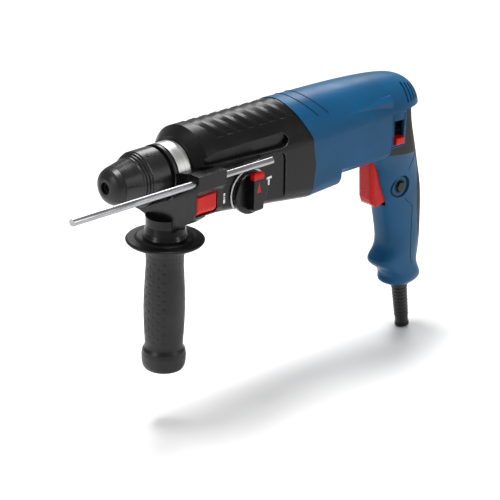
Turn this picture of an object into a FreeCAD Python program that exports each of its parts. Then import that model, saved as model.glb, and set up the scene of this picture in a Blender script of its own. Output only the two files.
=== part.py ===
"""Rotary hammer with a pistol handle, a side handle and a depth rod.

Millimetres. The origin is the mouth of the tool bore at the nose. The spindle turns about the X
axis and the nose points to -X. +Z is up and -Y is the side that carries the mode knob.
"""
import FreeCAD, Part
import math
import os

Vec = FreeCAD.Vector

# ---- driving dimensions: axes and gear train --------------------------------------------------
MESH_ANGLE = 25.0            # pressure angle of both gear pairs, degrees
TOOTH_PLAY = 0.08            # share of the tooth thickness given to backlash
MOTOR_MODULE, MOTOR_TEETH, COUNTER_TEETH = 0.75, 8, 40
SPINDLE_MODULE, COUNTER_PINION_TEETH, SPINDLE_TEETH = 1.0, 11, 41
COUNTER_Z = -SPINDLE_MODULE * (COUNTER_PINION_TEETH + SPINDLE_TEETH) / 2
MOTOR_Z = COUNTER_Z + MOTOR_MODULE * (MOTOR_TEETH + COUNTER_TEETH) / 2

# ---- driving dimensions: tool holder and hammer -----------------------------------------------
TOOL_BORE_R, TOOL_BORE_END = 5.0, 46.0
CAP_FACE_R, CAP_REAR_R, CAP_END = 7.5, 15.9, 8.5
SLEEVE_START, SLEEVE_TAPER_END, SLEEVE_RINGS_END, SLEEVE_END = 8.9, 24.0, 31.0, 50.0
SLEEVE_TAPER_R, SLEEVE_RING_R, SLEEVE_WALL = 19.0, 22.8, 2.6
SLEEVE_TRAVEL = 2.8
REAR_RING_R, REAR_LIP_R, REAR_RING_END = 19.8, 23.4, 56.2
HOLDER_R = 11.0              # outside of the spindle inside the chuck
BALL_R, BALL_X = 3.4, 20.0
ANVIL_R, ANVIL_START, ANVIL_END = 7.5, 50.0, 92.0
ANVIL_TRAVEL = 3.0
HAMMER_BORE_R, HAMMER_BORE_START, HAMMER_TUBE_END = 11.0, 91.0, 154.0
TUBE_WALL = 2.5
STRIKER_START, STRIKER_NOSE, STRIKER_END = 100.0, 7.0, 124.0
PISTON_START, PISTON_BODY_END, PISTON_PIN_X = 138.5, 157.0, 168.0
PISTON_STROKE = 7.5          # each way from the middle
RUN_FIT = 0.05               # radial clearance of shafts and sliding fits
LOOSE_FIT = 0.3              # clearance of parts that only pass each other

# ---- driving dimensions: gear housing ---------------------------------------------------------
NECK_START, NECK_END, NECK_R = 56.6, 71.0, 22.0
SHOULDER_R, SHOULDER_END, BODY_R = 26.5, 80.0, 34.0
BELLY_FRONT_Z, BELLY_REAR_Z, BELLY_REAR_X = -35.0, -49.6, 197.0
BELLY_ROUND = 12.0
GEAR_WALL, BELLY_WALL = 4.5, 3.2
RIB_COUNT, RIB_PITCH, RIB_START = 9, 11.8, 90.0
RIB_HEIGHT, RIB_REACH_Z, RIB_SWEEP = 1.2, 25.6, 1.0
SCOOP_FLOOR_Y, PANEL_FLOOR_Y = 29.3, 32.9
KNOB_X, KNOB_Z, KNOB_R, KNOB_SHAFT_R = 124.0, -23.5, 18.0, 4.0

# ---- driving dimensions: motor housing --------------------------------------------------------
SHELL_WALL = 2.2
BLOCK_END, BLOCK_BELLY_Z = 232.4, -47.6
PANEL_Y, PANEL_TOP_Z, PANEL_BELLY_Z, PANEL_END = 30.5, 19.0, -39.3, 297.0
STATOR_R, STATOR_START, STATOR_END = 27.8, 217.0, 264.0
ARMATURE_R, AIR_GAP = 19.4, 0.8
COMMUTATOR_R, COMMUTATOR_START, COMMUTATOR_END = 12.0, 276.0, 288.0
MOTOR_SHAFT_R, MOTOR_SHAFT_END = 5.0, 309.0
FAN_R, FAN_START, FAN_WIDTH = 24.0, 208.8, 6.0
FLANGE_START, FLANGE_PLATE = 192.6, 5.0
PLATE_X, PLATE_THICK, PLATE_R = 289.0, 4.0, 15.2

# ---- driving dimensions: handle ---------------------------------------------------------------
HANDLE_WALL, GRIP_SKIN = 2.5, 2.0
HUMP_FLOOR_Z = 3.0           # underside of the barrel's overhanging tail
TRIGGER_HALF, TRIGGER_TRAVEL = 9.0, 6.5
LOCK_X, LOCK_Z, LOCK_R, LOCK_RECESS_R = 327.0, -74.5, 4.5, 10.6
LOCK_TRAVEL, HANDLE_LOCK_Y = 2.2, -17.4
LEVER_X0, LEVER_X1, LEVER_Z, LEVER_TRAVEL = 308.0, 318.5, -26.0, 14.0
PIN_Y, REAR_ARM_R = -16.5, 9.0  # side of the lever's pin; hole in the arm behind the motor
CABLE_R, SLEEVE_TOP_R, SLEEVE_TIP_R, CABLE_SEAT_X = 4.0, 7.2, 5.9, 336.0
CORD_TOP, CORD_TIP = Vec(350.0, 0, -170.0), Vec(358.6, 0, -222.0)

# ---- driving dimensions: side handle ----------------------------------------------------------
STRAP_WALL, CLAMP_X0, CLAMP_X1 = 1.1, 57.0, 70.4
CLAMP_X = (CLAMP_X0 + CLAMP_X1) / 2
ROD_Y, ROD_Z, ROD_R, ROD_LENGTH, ROD_START = -41.0, 1.7, 3.0, 209.0, -67.7
ROD_GUIDE_END = 87.0
GRIP_DISC_Z, GRIP_DISC_R, GRIP_END_Z = -59.0, 32.5, -174.0
GRIP_BOLT_R = 4.0


# ---- shape helpers ----------------------------------------------------------------------------
def cyl_x(radius, x0, x1, y=0.0, z=0.0):
    return Part.makeCylinder(radius, x1 - x0, Vec(x0, y, z), Vec(1, 0, 0))


def cyl_y(radius, y0, y1, x, z):
    return Part.makeCylinder(radius, y1 - y0, Vec(x, y0, z), Vec(0, 1, 0))


def cyl_z(radius, z0, z1, x, y=0.0):
    return Part.makeCylinder(radius, z1 - z0, Vec(x, y, z0), Vec(0, 0, 1))


def ring_x(outer, inner, x0, x1, y=0.0, z=0.0):
    return cyl_x(outer, x0, x1, y, z).cut(cyl_x(inner, x0 - 1, x1 + 1, y, z))


def box(x0, x1, y0, y1, z0, z1):
    return Part.makeBox(x1 - x0, y1 - y0, z1 - z0, Vec(x0, y0, z0))


def fuse(first, *others):
    return first.fuse(list(others)).removeSplitter() if others else first


def cut(base, *tools):
    for tool in tools:
        base = base.cut(tool)
    return base


def turned_x(profile, z=0.0):
    """A solid of revolution about an axis along X at height z, from (x, radius) corners."""
    points = [Vec(x, 0, z + r) for x, r in profile]
    face = Part.Face(Part.makePolygon(points + [points[0]]))
    return face.revolve(Vec(0, 0, z), Vec(1, 0, 0), 360)


def turned_z(profile, x):
    """A solid of revolution about a vertical axis at x, from (radius, z) corners."""
    points = [Vec(x + r, 0, z) for r, z in profile]
    face = Part.Face(Part.makePolygon(points + [points[0]]))
    return face.revolve(Vec(x, 0, 0), Vec(0, 0, 1), 360)


def prism_y(outline, y0, y1):
    """An (x, z) outline extruded from y0 to y1."""
    points = [Vec(x, y0, z) for x, z in outline]
    return Part.Face(Part.makePolygon(points + [points[0]])).extrude(Vec(0, y1 - y0, 0))


def prism_x(outline, x0, x1):
    """A (y, z) outline extruded from x0 to x1."""
    points = [Vec(x0, y, z) for y, z in outline]
    return Part.Face(Part.makePolygon(points + [points[0]])).extrude(Vec(x1 - x0, 0, 0))


def mirrored(shape):
    """The shape's mirror image across the middle plane."""
    return shape.mirror(Vec(0, 0, 0), Vec(0, 1, 0))


def soften(shape, radius, keep):
    """Round the edges that keep(edge) picks."""
    return shape.makeFillet(radius, [edge for edge in shape.Edges if keep(edge)])


def group(solids):
    return Part.makeCompound(solids)


NODES = {}


def node(name, shape):
    NODES[name] = shape


# ---- gears ------------------------------------------------------------------------------------
def involute(angle):
    return math.tan(angle) - angle


def toothed(teeth, module, x0, x1, z, tooth_up):
    """A spur gear along X. A tooth points up when tooth_up, otherwise a gap does."""
    pitch = teeth * module / 2
    base = pitch * math.cos(math.radians(MESH_ANGLE))
    root, tip = pitch - 0.95 * module, pitch + 0.7 * module
    half_at_pitch = math.pi / (2 * teeth) * (1 - TOOTH_PLAY)
    flank = [max(root, base) + (tip - max(root, base)) * k / 4 for k in range(5)]

    def half_angle(radius):
        local = math.acos(min(1.0, base / radius))
        return half_at_pitch + involute(math.radians(MESH_ANGLE)) - involute(local)

    radii = ([root] if root < base else []) + flank
    spread = [half_angle(max(radius, base)) for radius in radii]
    step = 2 * math.pi / teeth
    start = math.pi / 2 + (0 if tooth_up else step / 2)
    points = []
    for tooth in range(teeth):
        middle = start + tooth * step
        rising = [(r, middle - a) for r, a in zip(radii, spread)]
        falling = [(r, middle + a) for r, a in reversed(list(zip(radii, spread)))]
        points += [Vec(x0, r * math.cos(a), z + r * math.sin(a)) for r, a in rising + falling]
    return Part.Face(Part.makePolygon(points + [points[0]])).extrude(Vec(x1 - x0, 0, 0))


def ball_bearing(outer, bore, x0, x1, z, balls=9):
    """Outer race, inner race and balls as separate solids."""
    wall = (outer - bore) * 0.3
    ball = (outer - bore) / 2 - wall
    middle = (outer + bore) / 2
    races = [ring_x(outer, outer - wall, x0, x1, 0, z), ring_x(bore + wall, bore, x0, x1, 0, z)]
    track = Part.makeTorus(middle, ball + 0.05, Vec((x0 + x1) / 2, 0, z), Vec(1, 0, 0))
    races = [race.cut(track) for race in races]
    for k in range(balls):
        angle = 2 * math.pi * k / balls
        centre = Vec((x0 + x1) / 2, middle * math.cos(angle), z + middle * math.sin(angle))
        races.append(Part.makeSphere(ball, centre))
    return races


# ---- chuck and hammer mechanism ---------------------------------------------------------------
HAMMER_TUBE_R = HAMMER_BORE_R + TUBE_WALL
TUBE_NOSE = 3.0
SPINDLE_GEAR_X0, SPINDLE_GEAR_X1 = 100.0, 112.0
FRONT_BEARING_X0, FRONT_BEARING_X1, FRONT_BEARING_R = 76.0, 88.0, 17.5
REAR_BEARING_X0, REAR_BEARING_X1, REAR_BEARING_R = 139.0, 149.0, 19.5
SEAL_X0, SEAL_X1, SEAL_R = 60.0, 66.0, 17.5


def chuck():
    cap_seat_r = HOLDER_R - 1.5
    cap = turned_x([(0, TOOL_BORE_R), (0, CAP_FACE_R), (1.2, 10.6), (2.8, 12.9), (4.5, 14.3),
                    (CAP_END, CAP_REAR_R), (CAP_END, cap_seat_r), (TUBE_NOSE, cap_seat_r),
                    (TUBE_NOSE, TOOL_BORE_R)])
    node("dust_cap", cap)

    tube = turned_x([(TUBE_NOSE, TOOL_BORE_R), (TUBE_NOSE, cap_seat_r), (CAP_END, cap_seat_r),
                     (CAP_END, HOLDER_R), (56.0, HOLDER_R), (56.0, HAMMER_TUBE_R),
                     (HAMMER_TUBE_END, HAMMER_TUBE_R), (HAMMER_TUBE_END, HAMMER_BORE_R),
                     (HAMMER_BORE_START, HAMMER_BORE_R), (HAMMER_BORE_START, ANVIL_R + RUN_FIT),
                     (TOOL_BORE_END, ANVIL_R + RUN_FIT), (TOOL_BORE_END, TOOL_BORE_R)])
    ball_ring = TOOL_BORE_R + 0.3 + BALL_R
    pockets = [cyl_z(BALL_R + RUN_FIT, 0, HOLDER_R + 2, BALL_X),
               cyl_z(BALL_R + RUN_FIT, -HOLDER_R - 2, 0, BALL_X)]
    node("hammer_tube", cut(tube, *pockets))
    node("locking_balls", group([Part.makeSphere(BALL_R, Vec(BALL_X, 0, side * ball_ring))
                                 for side in (1, -1)]))
    ball_top = ball_ring + BALL_R
    retainer = ring_x(ball_top + 2.0, ball_top + 0.1, BALL_X - 4, BALL_X + 4)
    front_wall = ring_x(ball_top + 2.0, HOLDER_R + RUN_FIT, BALL_X - 4.9, BALL_X - 4)
    node("ball_retainer", fuse(retainer, front_wall))

    spring_x0, spring_x1, coil_r, wire_r = BALL_X + 5, SLEEVE_END - 4, HOLDER_R + 1.6, 0.9
    turns = 5
    coils = []
    for k in range(turns):
        middle = spring_x0 + (spring_x1 - spring_x0) * k / (turns - 1)
        coils.append(Part.makeTorus(coil_r, wire_r, Vec(middle, 0, 0), Vec(1, 0, 0)))
    rod = cyl_x(wire_r * 0.6, spring_x0, spring_x1, 0, coil_r)
    node("holder_spring", fuse(coils[0], rod, *coils[1:]))

    rings = [(SLEEVE_TAPER_END, SLEEVE_TAPER_R), (24.6, 19.8), (26.2, 19.8), (26.5, 19.3),
             (27.0, 20.9), (28.5, 20.9), (28.8, 20.3), (29.3, 22.0), (30.7, 22.0),
             (SLEEVE_RINGS_END, 21.4)]
    skirt = SLEEVE_RING_R - SLEEVE_WALL
    outline = [(SLEEVE_START, CAP_REAR_R)] + rings
    outline += [(31.6, SLEEVE_RING_R), (SLEEVE_END - 0.8, SLEEVE_RING_R + 0.2),
                (SLEEVE_END, SLEEVE_RING_R - 0.4), (SLEEVE_END, skirt), (34.0, skirt),
                (32.0, SLEEVE_TAPER_R - 2.4), (12.0, SLEEVE_TAPER_R - 4.2),
                (12.0, HOLDER_R + RUN_FIT), (SLEEVE_START, HOLDER_R + RUN_FIT)]
    node("locking_sleeve", turned_x(outline))

    ring_front = SLEEVE_END - 4.0
    lip_front = SLEEVE_END + SLEEVE_TRAVEL + 0.2
    collar = turned_x([(ring_front + 1.2, HOLDER_R), (ring_front + 1.2, REAR_RING_R),
                       (lip_front, REAR_RING_R), (lip_front, REAR_LIP_R - 0.5),
                       (lip_front + 0.5, REAR_LIP_R), (REAR_RING_END - 0.5, REAR_LIP_R),
                       (REAR_RING_END, REAR_LIP_R - 0.5), (REAR_RING_END, HAMMER_TUBE_R + 0.2),
                       (55.8, HAMMER_TUBE_R + 0.2), (55.8, HOLDER_R)])
    node("chuck_collar", collar)

    pitch = SPINDLE_TEETH * SPINDLE_MODULE / 2
    gear = toothed(SPINDLE_TEETH, SPINDLE_MODULE, SPINDLE_GEAR_X0, SPINDLE_GEAR_X1, 0, True)
    gear = cut(gear, cyl_x(HAMMER_TUBE_R, SPINDLE_GEAR_X0 - 1, SPINDLE_GEAR_X1 + 1))
    dish = ring_x(pitch - 3.5, HAMMER_TUBE_R + 2.0, SPINDLE_GEAR_X1 - 3, SPINDLE_GEAR_X1 + 1)
    node("spindle_gear", cut(gear, dish))
    clutch_x0 = SPINDLE_GEAR_X1 + 0.0
    clutch = ring_x(HAMMER_TUBE_R + 5.5, HAMMER_TUBE_R, clutch_x0, clutch_x0 + 2.5)
    nut = ring_x(HAMMER_TUBE_R + 4.0, HAMMER_TUBE_R, clutch_x0 + 12.0, clutch_x0 + 15.0)
    node("clutch_plate", group([clutch, nut]))
    coil = [Part.makeTorus(HAMMER_TUBE_R + 2.0, 1.1, Vec(clutch_x0 + 3.65 + k * 2.3, 0, 0),
                           Vec(1, 0, 0)) for k in range(4)]
    node("clutch_spring", fuse(coil[0], *coil[1:]))


def hammer():
    tail = 5.0
    node("anvil", turned_x([(ANVIL_START, 0), (ANVIL_START, 4.6), (ANVIL_START + 3, 4.8),
                            (ANVIL_START + 6, ANVIL_R), (66, ANVIL_R), (66, ANVIL_R - 1.4),
                            (69, ANVIL_R - 1.4), (69, ANVIL_R), (84, ANVIL_R), (86, tail),
                            (ANVIL_END, tail), (ANVIL_END, 0)]))
    striker_r = HAMMER_BORE_R - RUN_FIT
    nose_end = STRIKER_START + STRIKER_NOSE
    node("striker", turned_x([(STRIKER_START, 0), (STRIKER_START, 5.5), (nose_end, 6.2),
                              (nose_end + 1, striker_r), (116, striker_r), (116, striker_r - 1.6),
                              (119, striker_r - 1.6), (119, striker_r),
                              (STRIKER_END, striker_r), (STRIKER_END, 0)]))
    node("striker_seal", ring_x(striker_r, striker_r - 1.6, 116.0, 119.0))
    piston_r = HAMMER_BORE_R - RUN_FIT
    piston = turned_x([(PISTON_START, 0), (PISTON_START, piston_r), (143, piston_r),
                       (143, piston_r - 1.6), (146, piston_r - 1.6), (146, piston_r),
                       (PISTON_BODY_END, piston_r), (PISTON_BODY_END, 0)])
    pin_r, ear_in, ear_out, ear_half = 4.6, 6.0, 9.0, 6.2
    ears = box(PISTON_BODY_END - 1, PISTON_PIN_X + ear_half, -ear_out, ear_out, -5.8, 5.8)
    ears = cut(ears, box(PISTON_BODY_END, PISTON_PIN_X + ear_half + 1, -ear_in, ear_in, -7, 7))
    piston = cut(fuse(piston, ears), cyl_y(pin_r, -ear_out - 1, ear_out + 1, PISTON_PIN_X, 0))
    node("piston", group([piston, ring_x(piston_r, piston_r - 1.6, 143.0, 146.0)]))
    pin = cyl_y(pin_r, -ear_out, ear_out, PISTON_PIN_X, 0)
    window = box(PISTON_PIN_X - 3.9, PISTON_PIN_X + 3.9, -FINGER_R - 0.3, FINGER_R + 0.3, -6, 6)
    node("piston_pin", pin.cut(window))


FINGER_R = 2.0
DRUM_R, DRUM_HALF, WOBBLE_RING_R, WOBBLE_HALF = 10.6, 6.0, 14.4, 3.6
COUNTER_SHAFT_R = 5.5
COUNTER_GEAR_X0, COUNTER_GEAR_X1 = 184.0, 190.5
COUNTER_FRONT_X0, COUNTER_FRONT_X1 = 82.0, 89.0
COUNTER_BEARING_R, COUNTER_JOURNAL_R = 8.0, 3.5
COUNTER_REAR_X1 = FLANGE_START + FLANGE_PLATE


def counter_shaft():
    z = COUNTER_Z
    shaft = turned_x([(COUNTER_FRONT_X0, 0), (COUNTER_FRONT_X0, COUNTER_JOURNAL_R - RUN_FIT),
                      (COUNTER_FRONT_X1, COUNTER_JOURNAL_R - RUN_FIT),
                      (COUNTER_FRONT_X1 + 0.3, 4.5), (SPINDLE_GEAR_X0 - 2, 4.5),
                      (SPINDLE_GEAR_X0 - 2, 4.4), (SPINDLE_GEAR_X1 + 3, 4.4),
                      (SPINDLE_GEAR_X1 + 3, COUNTER_SHAFT_R), (COUNTER_GEAR_X1, COUNTER_SHAFT_R),
                      (COUNTER_GEAR_X1 + 0.3, COUNTER_JOURNAL_R - RUN_FIT),
                      (COUNTER_REAR_X1, COUNTER_JOURNAL_R - RUN_FIT), (COUNTER_REAR_X1, 0)], z)
    teeth = toothed(COUNTER_PINION_TEETH, SPINDLE_MODULE, SPINDLE_GEAR_X0 - 2,
                    SPINDLE_GEAR_X1 + 3, z, True)
    collar = cyl_x(COUNTER_SHAFT_R + 2.0, PISTON_PIN_X + DRUM_HALF, COUNTER_GEAR_X0, 0, z)
    node("counter_shaft", fuse(shaft, teeth, collar))
    gear = toothed(COUNTER_TEETH, MOTOR_MODULE, COUNTER_GEAR_X0, COUNTER_GEAR_X1, z, False)
    dish = ring_x(12.0, 8.0, COUNTER_GEAR_X0 - 1, COUNTER_GEAR_X0 + 2, 0, z)
    node("counter_gear", cut(gear, cyl_x(COUNTER_SHAFT_R, 180, 195, 0, z), dish))
    sphere = Part.makeSphere(DRUM_R, Vec(PISTON_PIN_X, 0, z))
    slab = box(PISTON_PIN_X - DRUM_HALF, PISTON_PIN_X + DRUM_HALF, -20, 20, z - 20, z + 20)
    drum = sphere.common(slab).cut(cyl_x(COUNTER_SHAFT_R, 150, 190, 0, z))
    node("wobble_drum", drum)
    outer = cyl_x(WOBBLE_RING_R, PISTON_PIN_X - WOBBLE_HALF, PISTON_PIN_X + WOBBLE_HALF, 0, z)
    ring = outer.cut(Part.makeSphere(DRUM_R + LOOSE_FIT, Vec(PISTON_PIN_X, 0, z)))
    finger = cyl_z(FINGER_R, z + WOBBLE_RING_R - 1.2, 4.0, PISTON_PIN_X)
    node("wobble_ring", fuse(ring, finger))


# ---- housings ---------------------------------------------------------------------------------
def body_wire(x, radius, side, belly, corner):
    """Half round top, upright sides and a belly with round corners, in a plane across X."""
    def at(y, z):
        return Vec(x, y, z)
    half = math.sqrt(0.5)
    drop = corner * (1 - half)
    parts = [
        Part.Arc(at(radius, 0), at(0, radius), at(-radius, 0)).toShape(),
        Part.LineSegment(at(-radius, 0), at(-side, belly + corner)).toShape(),
        Part.Arc(at(-side, belly + corner), at(-side + drop, belly + drop),
                 at(-side + corner, belly)).toShape(),
        Part.LineSegment(at(-side + corner, belly), at(side - corner, belly)).toShape(),
        Part.Arc(at(side - corner, belly), at(side - drop, belly + drop),
                 at(side, belly + corner)).toShape(),
        Part.LineSegment(at(side, belly + corner), at(radius, 0)).toShape()]
    return Part.Wire(parts)


def body_loft(stations):
    return Part.makeLoft([body_wire(*station) for station in stations], True, True)


def belly_z(x):
    """Height of the gear housing's underside, which slopes down to the rear."""
    slope = (BELLY_REAR_Z - BELLY_FRONT_Z) / (BELLY_REAR_X - SHOULDER_END)
    return BELLY_FRONT_Z + slope * (x - SHOULDER_END)


def seam_region(rear):
    """The space before or behind the parting face between the two housings."""
    line = [(181.0, 40.0), (185.0, 30.0), (190.2, 17.5), (196.5, 5.8), (200.9, -19.0),
            (BELLY_REAR_X, BELLY_REAR_Z - 1), (BELLY_REAR_X, -230)]
    far = 420.0 if rear else 50.0
    return prism_y(line + [(far, -230), (far, 40)], -60, 60)


SCREW_SPOTS = [(20.6, 20.6), (-20.6, 20.6), (28.6, -12.5), (-28.6, -12.5)]
SCREW_R, SCREW_HEAD_R, SCREW_HEAD_X, SCREW_TIP_X = 2.0, 3.2, 204.4, 180.0


def rib_cutters():
    """Slanted steps over the top that leave shingled ribs, each deepest at its front."""
    cutters = []
    outer = BODY_R + 6
    for k in range(RIB_COUNT):
        top_x = RIB_START + k * RIB_PITCH
        depth = RIB_HEIGHT
        wedge = turned_x([(0, BODY_R - depth), (0, outer), (RIB_PITCH * 0.7, outer),
                          (RIB_PITCH * 0.7, BODY_R)])
        squeeze = FreeCAD.Matrix()
        squeeze.A13 = -RIB_SWEEP
        squeeze.A14 = top_x + RIB_SWEEP * BODY_R
        wedge = wedge.transformGeometry(squeeze)
        cutters.append(wedge)
    zone = box(60, 220, -60, 60, RIB_REACH_Z, 60)
    return [wedge.common(zone) for wedge in cutters]


def scoop():
    outline = [(70.0, 13.0), (93.0, 17.8), (160.0, 17.4), (166.5, 15.0), (168.6, 11.0),
               (166.0, 7.4), (161.0, 5.9), (76.0, 9.7)]
    return prism_y(outline, -60, -SCOOP_FLOOR_Y)


def side_panel():
    """The shallow recess round the mode knob, with a rounded rear corner and a notch below."""
    outline = [(84.0, -60), (84.0, 3.4), (96.0, 4.6), (158.5, 2.6), (161.6, 1.4), (163.6, -1.0),
               (164.4, -4.5), (165.4, -44.0), (160.0, -60)]
    return prism_y(outline, -60, -PANEL_FLOOR_Y)


def gear_housing():
    skin = body_loft([(NECK_END, SHOULDER_R, SHOULDER_R, -SHOULDER_R - 1, SHOULDER_R - 1),
                      (SHOULDER_END, BODY_R, BODY_R, BELLY_FRONT_Z, BELLY_ROUND),
                      (204.0, BODY_R, BODY_R, belly_z(204.0), BELLY_ROUND)])
    inner_r = BODY_R - GEAR_WALL
    first = 91.0
    hollow = body_loft([(x, inner_r, inner_r, belly_z(x) + BELLY_WALL, BELLY_ROUND - BELLY_WALL)
                        for x in (first, 205.0)])
    front_seat = cyl_x(FRONT_BEARING_R, FRONT_BEARING_X0, first + 1)
    seal_seat = cyl_x(SEAL_R, SEAL_X0, SEAL_X1)
    throat = cyl_x(HAMMER_TUBE_R + LOOSE_FIT, NECK_START - 1, first + 1)
    neck = cyl_x(NECK_R, NECK_START, NECK_END + 2)
    counter_seat = cyl_x(COUNTER_BEARING_R, COUNTER_FRONT_X0, first + 1, 0, COUNTER_Z)
    shell = cut(fuse(skin, neck), hollow)
    carrier_boss = [cyl_x(SCREW_R + 2.2, first - 2, 204, y, z) for y, z in SCREW_SPOTS]
    shell = fuse(shell, *[boss.common(skin) for boss in carrier_boss])
    holes = [throat, front_seat, seal_seat, counter_seat,
             cyl_y(KNOB_SHAFT_R + RUN_FIT, -BODY_R - 1, -20, KNOB_X, KNOB_Z)]
    for y, z in SCREW_SPOTS:
        holes.append(cyl_x(SCREW_R, SCREW_TIP_X, 210, y, z))
    shell = cut(shell, scoop(), mirrored(scoop()), side_panel(), mirrored(side_panel()),
                *rib_cutters(), *holes)
    node("gear_housing", shell.common(seam_region(False)))

    carrier_x0, carrier_x1 = REAR_BEARING_X0, REAR_BEARING_X1
    plate = hollow.common(box(carrier_x0, carrier_x1, -60, 60, -60, 60))
    plate = cut(plate, cyl_x(REAR_BEARING_R, carrier_x0 - 1, carrier_x1 + 1),
                cyl_x(COUNTER_SHAFT_R + 0.5, carrier_x0 - 1, carrier_x1 + 1, 0, COUNTER_Z))
    for y, z in SCREW_SPOTS:
        plate = plate.cut(cyl_x(SCREW_R + 2.2, 100, 204, y, z))
    plate = cut(plate, cyl_y(KNOB_SHAFT_R + 3, -40, -18, KNOB_X, KNOB_Z))
    node("bearing_carrier", plate)
    node("spindle_front_bearing", group([
        ring_x(FRONT_BEARING_R, HAMMER_TUBE_R + 2.2, FRONT_BEARING_X0, FRONT_BEARING_X1),
        ring_x(HAMMER_TUBE_R + 2.2, HAMMER_TUBE_R + RUN_FIT, FRONT_BEARING_X0, FRONT_BEARING_X1)]))
    node("spindle_rear_bearing", group(ball_bearing(
        REAR_BEARING_R, HAMMER_TUBE_R + RUN_FIT, REAR_BEARING_X0, REAR_BEARING_X1, 0, 14)))
    node("shaft_seal", ring_x(SEAL_R, HAMMER_TUBE_R + RUN_FIT, SEAL_X0, SEAL_X1))
    node("counter_bearings", group(
        ball_bearing(COUNTER_BEARING_R, COUNTER_JOURNAL_R, COUNTER_FRONT_X0,
                     COUNTER_FRONT_X1, COUNTER_Z, 7)
        + ball_bearing(COUNTER_BEARING_R, COUNTER_JOURNAL_R, FLANGE_START, COUNTER_REAR_X1,
                       COUNTER_Z, 7)))
    screws = []
    for y, z in SCREW_SPOTS:
        head = cut(cyl_x(SCREW_HEAD_R, SCREW_HEAD_X, SCREW_HEAD_X + 2.8, y, z),
                   cyl_x(1.6, SCREW_HEAD_X + 1.2, SCREW_HEAD_X + 4, y, z))
        screws.append(fuse(head, cyl_x(SCREW_R, SCREW_TIP_X, SCREW_HEAD_X, y, z)))
    node("housing_screws", group(screws))


# Handle stations: height, front, rear and half width.
HANDLE = [(7.0, 291.0, 337.0, 24.5), (-17.0, 287.0, 342.5, 24.0), (-38.0, 289.0, 349.5, 22.5),
          (-56.0, 302.0, 355.5, 19.5), (-75.0, 308.0, 361.5, 17.7), (-96.0, 316.0, 365.0, 16.5),
          (-120.0, 321.5, 366.5, 15.5), (-138.0, 321.5, 366.5, 15.5),
          (-147.5, 314.5, 366.0, 15.5), (-157.0, 323.0, 365.0, 16.0),
          (-168.0, 331.0, 369.0, 16.5), (-176.0, 339.0, 361.0, 11.5)]


def handle_loft(inset, top=None):
    """The handle's outside, or with an inset its inside, as a smooth loft of round sections."""
    wires = []
    power, count = 2.6, 20
    for k, (z, front, rear, half) in enumerate(HANDLE):
        middle, deep, wide = (front + rear) / 2, (rear - front) / 2 - inset, half - inset
        if k == len(HANDLE) - 1:
            z += 2 * inset
        points = []
        for step in range(count):
            angle = 2 * math.pi * (step + 0.5) / count
            c, s = math.cos(angle), math.sin(angle)
            points.append(Vec(middle + deep * math.copysign(abs(c) ** (2 / power), c),
                              wide * math.copysign(abs(s) ** (2 / power), s), z))
        curve = Part.BSplineCurve()
        curve.interpolate(Points=points, PeriodicFlag=True)
        wires.append(Part.Wire(curve.toShape()))
    return Part.makeLoft(wires, True, False)


def barrel(inset):
    """The round top of the motor housing and its blunt tail."""
    line = [(184.0, 34.6), (236.0, 34.0), (283.0, 32.5), (314.0, 29.8), (330.0, 26.2),
            (341.0, 19.5), (346.5, 11.0)]
    points = [Vec(x, 0, r - inset) for x, r in line]
    if inset:
        points[-1] = Vec(346.5 - inset, 0, 11.0 - inset)
    curve = Part.BSplineCurve()
    curve.interpolate(Points=points)
    start, end = points[0], points[-1]
    loop = Part.Wire([curve.toShape(),
                      Part.LineSegment(end, Vec(end.x, 0, 0)).toShape(),
                      Part.LineSegment(Vec(end.x, 0, 0), Vec(start.x, 0, 0)).toShape(),
                      Part.LineSegment(Vec(start.x, 0, 0), start).toShape()])
    turned = Part.Face(loop).revolve(Vec(0, 0, 0), Vec(1, 0, 0), 360)
    floor = HUMP_FLOOR_Z + inset
    return turned.common(box(180, 360, -60, 60, floor, 60))


def panel_block(inset):
    """The flat-sided part of the motor housing behind the front block."""
    side, belly, shoulder = PANEL_Y - inset, PANEL_BELLY_Z + inset, PANEL_TOP_Z - inset
    chamfer = 7.0
    outline = [(-side, belly + chamfer), (-side + chamfer, belly), (side - chamfer, belly),
               (side, belly + chamfer), (side, shoulder - 4), (side - 4, shoulder),
               (-side + 4, shoulder), (-side, shoulder - 4)]
    return prism_x(outline, BLOCK_END - 12, PANEL_END - inset)


def front_block(inset):
    start, end = 184.0, BLOCK_END - inset
    radius = BODY_R - inset
    slope = (BLOCK_BELLY_Z - BELLY_REAR_Z) / (BLOCK_END - BELLY_REAR_X)
    stations = [(x, radius, radius, BELLY_REAR_Z + slope * (x - BELLY_REAR_X) + inset,
                 BELLY_ROUND - inset) for x in (start, end)]
    return body_loft(stations)


def cover_region():
    return prism_y([(336, HUMP_FLOOR_Z - 0.2), (336, -60), (339.6, -68), (339.6, -81), (335, -90),
                    (345, -96), (345.5, -104), (347.5, -150), (351, -157), (390, -157),
                    (390, HUMP_FLOOR_Z - 0.2)], -60, 60)


def skin_region():
    return prism_y([(303, 3.0), (390, 3.0), (390, -131), (358, -131), (352, -100), (348, -60),
                    (341, -44), (299, -39), (297, -31.5), (322.5, -31.5), (322.5, 0.6),
                    (303, 0.6)], -60, 60)


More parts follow.
